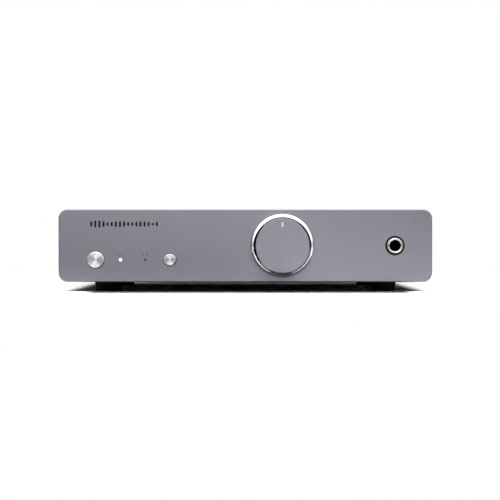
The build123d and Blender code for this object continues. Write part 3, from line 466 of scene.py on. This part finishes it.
# ---------------------------------------------------------------- volume knob
def knob():
    """A polished rim, a groove filled with a near-black ring of painted shade, a polished bevel and a blasted
    face with its filled marker.
    """
    radius = (knob_high.x - knob_low.x) / 2
    front, back = knob_low.y, knob_high.y
    rim_width, rim_start, skirt_round = 1.75 * MM, 25.0, 0.3 * MM
    # The second value is how far into the groove its painted-shade fill starts.
    groove_width, shade_fill_depth, groove_depth = 0.5 * MM, 0.3 * MM, 0.6 * MM
    bevel, bevel_drop, ink = 0.6 * MM, 0.22 * MM, 0.03 * MM
    wall, web, boss, socket = 2.4 * MM, 3.0 * MM, 8.55 * MM, 6.55 * MM
    marker_height, marker_width, marker_length = 11.9 * MM, 1.1 * MM, 2.9 * MM
    inner = radius - rim_width
    edge = inner - groove_width
    flat = edge - bevel
    face = front + ink
    dark, groove_floor = front + shade_fill_depth, front + groove_depth
    bow = (radius - inner) / (1 - math.sin(math.radians(rim_start)))
    bow_y = front + bow * math.cos(math.radians(rim_start))
    profile = [(inner, groove_floor)]
    profile += arc((radius - bow, bow_y), bow, rim_start - 90, 0, 24)
    profile += arc((radius - skirt_round, back - skirt_round), skirt_round, 0, 90, 5)
    profile += [(radius - wall, back), (radius - wall, front + web), (boss, front + web), (boss, back)]
    profile += [(socket, back), (socket, front + web), (0.0, front + web), (0.0, groove_floor)]
    shell = turned("knob_shell", profile, KNOB, rim_metal, "volume", 256)
    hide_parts("volume_knob")
    groove = [(edge, dark), (inner, dark), (inner, groove_floor), (edge, groove_floor)]
    slope = [(flat, face), (edge, front + bevel_drop), (edge, groove_floor), (flat, groove_floor)]
    disc = [(0.0, face), (flat, face), (flat, groove_floor), (0.0, groove_floor)]
    # The groove holds a near-black ring, painted shade where the gap would only be in shadow.
    turned("knob_groove_painted_shade", groove, KNOB, groove_painted_shade, "volume", 256)
    # The bevel takes the darkened metal: painted shade on a polished chamfer.
    turned("knob_bevel", slope, KNOB, bevel_painted_shade_metal, "volume", 256)
    turned("knob_face", disc, KNOB, knob_metal, "volume", 256)
    marker = capsule(KNOB.x, KNOB.z + marker_height, marker_width, marker_length)
    inked("knob_marker", [marker], white_print, face, -1, "volume", ink)


# ---------------------------------------------------------------- printing on the fascia
def fascia_prints():
    """A wave of bars at the upper left, a numeral and an arrow over each indicator, and a headphone sign."""
    x0, x1 = fascia_low.x + 18.9 * MM, fascia_low.x + 56.6 * MM
    z = fascia_low.z + 33.4 * MM
    count = 17
    bars = []
    for i in range(count):
        share = i / (count - 1)
        ripple = abs(math.sin(share * 9.4 + 0.6))
        swell = 0.6 + 0.4 * math.cos(share * 2.2) ** 2
        height = (1.6 + 2.6 * ripple * swell) * MM
        bars.append(capsule(x0 + share * (x1 - x0), z, 1.15 * MM, height))
    inked("fascia_wave_mark", bars, black_print, FACE_Y, -1)
    for i in (1, 2):
        low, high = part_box(f"indicator_lens_{i}")
        x, top = (low.x + high.x) / 2, (low.z + high.z) / 2 + 2.9 * MM
        numeral = numeral_one if i == 1 else numeral_two
        arrow = [(x - 1.7 * MM, top + 0.5 * MM), (x - 1.7 * MM, top - 0.5 * MM), (x - 0.8 * MM, top)]
        shapes = [arrow] + numeral(x + 0.9 * MM, top, 1.35 * MM)
        inked(f"indicator_label_{i}", shapes, black_print, FACE_Y, -1)
    sign_x, sign_z = JACK.x, JACK.z - 8.6 * MM
    sign = [ring_part(sign_x, sign_z, 1.35 * MM, 1.08 * MM, 0, 180)]
    sign += [capsule(sign_x + side * 1.15 * MM, sign_z - 0.35 * MM, 0.6 * MM, 1.25 * MM) for side in (-1, 1)]
    inked("headphone_sign", sign, grey_print, FACE_Y, -1)


def rear_prints():
    """A numeral over each input pair, an arrow out over the output pair, and an earth sign over the stud."""
    low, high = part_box("socket_blocks")
    z, half = KNOB.z + 12.0 * MM, 14.0 * MM
    x = high.x - half
    arrow = [(x - 1.6 * MM, z - 0.9 * MM), (x + 1.6 * MM, z - 0.9 * MM), (x, z + 1.5 * MM)]
    shapes = numeral_one(low.x + half, z, 3.4 * MM, -1) + numeral_two((low.x + high.x) / 2, z, 3.4 * MM, -1)
    inked("rear_labels", shapes + [arrow], white_print, REAR_Y, 1)
    stud_low, stud_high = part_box("ground_stud")
    x = (stud_low.x + stud_high.x) / 2
    earth = [bar(x, z + 1.2 * MM, 0.35 * MM, 1.6 * MM)]
    earth += [bar(x, z + (0.4 - 0.75 * i) * MM, (3.2 - 1.0 * i) * MM, 0.35 * MM) for i in range(3)]
    inked("earth_sign", earth, white_print, REAR_Y, 1)


# ---------------------------------------------------------------- stage
def hide_from(thing, *rays):
    for ray in rays:
        setattr(thing, "visible_" + ray, False)


def plane(name, corners, material):
    """A staged sheet through four corners."""
    mesh = bpy.data.meshes.new(name)
    mesh.from_pydata(corners, [], [(0, 1, 2, 3)])
    sheet = bpy.data.objects.new(name, mesh)
    bpy.context.scene.collection.objects.link(sheet)
    mesh.materials.append(material)
    return sheet


def floor():
    """A pale floor, overexposed as the camera sees it."""
    material = bpy.data.materials.new("studio_floor")
    material.use_nodes = True
    tree = material.node_tree
    tree.nodes.clear()
    output = tree.nodes.new("ShaderNodeOutputMaterial")
    path = tree.nodes.new("ShaderNodeLightPath")
    mixed = tree.nodes.new("ShaderNodeMixShader")
    shaders = []
    for colour in (0.8, 1.5):
        diffuse = tree.nodes.new("ShaderNodeBsdfDiffuse")
        diffuse.inputs["Color"].default_value = (colour, colour, colour, 1.0)
        shaders.append(diffuse)
    tree.links.new(path.outputs["Is Camera Ray"], mixed.inputs[0])
    tree.links.new(shaders[0].outputs[0], mixed.inputs[1])
    tree.links.new(shaders[1].outputs[0], mixed.inputs[2])
    tree.links.new(mixed.outputs[0], output.inputs["Surface"])
    plane("studio_floor", [(-0.5, -0.30, 0), (0.5, -0.30, 0), (0.5, 0.5, 0), (-0.5, 0.5, 0)], material)


def flat_corners(x0, x1, y0, y1, z):
    """The four corners of a level rectangle."""
    return [(x0, y0, z), (x1, y0, z), (x1, y1, z), (x0, y1, z)]


def card_material(name, dark, light):
    card = Shader(name, Roughness=1.0, Specular_IOR_Level=0.0)
    card.feed("Base Color", card.mix(card.noise(5 * MM), dark, light))
    return card.material


def flags():
    """Two cards on the floor that only reflections see, a black one and a grey one under the knob that is
    painted shade for the shadowed floor there, and two by the case that only cast shadow.
    """
    black = card_material("black_card", (0.002, 0.002, 0.002), (0.004, 0.004, 0.004))
    # A grey card under the knob, seen only in reflections: painted shade standing in for the floor in the
    # knob's shadow.
    grey = card_material("grey_shadow_card", (0.28, 0.28, 0.29), (0.34, 0.34, 0.35))
    z = 0.0003
    left_of_knob = [(-0.30, -0.30, z), (0.01, -0.30, z), (0.0, -0.12, z), (-0.16, -0.12, z)]
    under_knob = flat_corners(KNOB.x - 0.013, KNOB.x + 0.009, -0.16, -0.08, 0.0004)
    for name, corners, material in (("floor_card", left_of_knob, black), ("knob_shadow_card", under_knob, grey)):
        hide_from(plane(name, corners, material), "camera", "diffuse", "shadow", "transmission")
    hood = flat_corners(-0.098, 0.108, REAR_Y, REAR_Y + 0.06, 0.045)
    lip = flat_corners(-0.090, 0.094, -0.089, -0.065, 0.004)
    for name, corners in (("shadow_hood", hood), ("shadow_lip", lip)):
        hide_from(plane(name, corners, black), "camera", "diffuse", "glossy", "transmission")


def lamp():
    """One broad soft light, above and in front, for everything but reflections."""
    data = bpy.data.lights.new("key_softbox", "AREA")
    data.shape = "RECTANGLE"
    data.size, data.size_y = 2.4, 0.5
    data.energy = 40.0
    made = bpy.data.objects.new("key_softbox", data)
    bpy.context.scene.collection.objects.link(made)
    made.location = (0.0, -0.72, 1.15)
    made.rotation_euler = (Vector((0, 0.02, 0)) - made.location).to_track_quat("-Z", "Y").to_euler()
    hide_from(made, "camera", "glossy")


def world():
    """What reflections see: a bright studio above, dim low down, and a dark zone front left."""
    made = bpy.data.worlds.new("studio")
    bpy.context.scene.world = made
    made.use_nodes = True
    made.cycles_visibility.diffuse = False
    tree = made.node_tree
    tree.nodes.clear()
    link = tree.links.new

    def add(kind, **settings):
        node = tree.nodes.new(kind)
        for key, value in settings.items():
            setattr(node, key, value)
        return node

    def ranged(source, start, end, low, high):
        node = add("ShaderNodeMapRange", interpolation_type="SMOOTHSTEP")
        for key, value in zip(("From Min", "From Max", "To Min", "To Max"), (start, end, low, high)):
            node.inputs[key].default_value = value
        link(source, node.inputs["Value"])
        return node.outputs[0]

    def combine(operation, first, second):
        node = add("ShaderNodeMath", operation=operation)
        link(first, node.inputs[0])
        if isinstance(second, float):
            node.inputs[1].default_value = second
        else:
            link(second, node.inputs[1])
        return node.outputs[0]

    direction = add("ShaderNodeTexCoord").outputs["Generated"]

    def towards(x, y, z):
        node = add("ShaderNodeVectorMath", operation="DOT_PRODUCT")
        node.inputs[1].default_value = Vector((x, y, z)).normalized()
        link(direction, node.inputs[0])
        return node.outputs["Value"]

    height = towards(0, 0, 1)
    low = ranged(height, -0.25, 0.0, 0.5, 0.75)
    above = ranged(height, 0.05, 0.25, 0.0, 1.1)
    overhead = ranged(height, 0.3, 0.95, 1.0, 1.25)
    light = combine("MULTIPLY", combine("ADD", low, above), overhead)
    dark_left = ranged(towards(-0.62, -0.79, -0.02), 0.85, 0.91, 1.0, 0.02)
    dim_right = ranged(towards(0.5, -0.86, 0.05), 0.85, 0.95, 1.0, 0.12)
    centre = ranged(towards(-0.06, -1, 0), 0.94, 1.0, 1.0, 1.6)
    light = combine("MULTIPLY", combine("MULTIPLY", light, centre), combine("MULTIPLY", dark_left, dim_right))
    light = combine("MULTIPLY", light, 1.15)
    path = add("ShaderNodeLightPath")
    lit_world = add("ShaderNodeBackground")
    link(light, lit_world.inputs["Strength"])
    seen = add("ShaderNodeBackground")
    seen.inputs["Strength"].default_value = 1.0
    seen.inputs["Color"].default_value = (1.0, 1.0, 1.0, 1.0)
    mixed = add("ShaderNodeMixShader")
    link(path.outputs["Is Camera Ray"], mixed.inputs[0])
    link(lit_world.outputs[0], mixed.inputs[1])
    link(seen.outputs[0], mixed.inputs[2])
    link(mixed.outputs[0], add("ShaderNodeOutputWorld").inputs["Surface"])


def camera():
    """A long lens, close to square on, just above the fascia's middle."""
    data = bpy.data.cameras.new("camera")
    data.lens = 100.0
    data.sensor_width = 36.0
    data.clip_end = 100.0
    made = bpy.data.objects.new("camera", data)
    bpy.context.scene.collection.objects.link(made)
    made.location = (-1.1 * MM, FACE_Y - 798.2 * MM, 29.7 * MM)
    aim = Vector((2.6 * MM, FACE_Y, 24.0 * MM))
    made.rotation_euler = (aim - made.location).to_track_quat("-Z", "Y").to_euler()
    bpy.context.scene.camera = made


scene = bpy.context.scene
scene.view_settings.view_transform = "Standard"
scene.view_settings.look = "None"
camera()
world()
floor()
flags()
lamp()
dress_frame()
knob()
fascia_prints()
rear_prints()
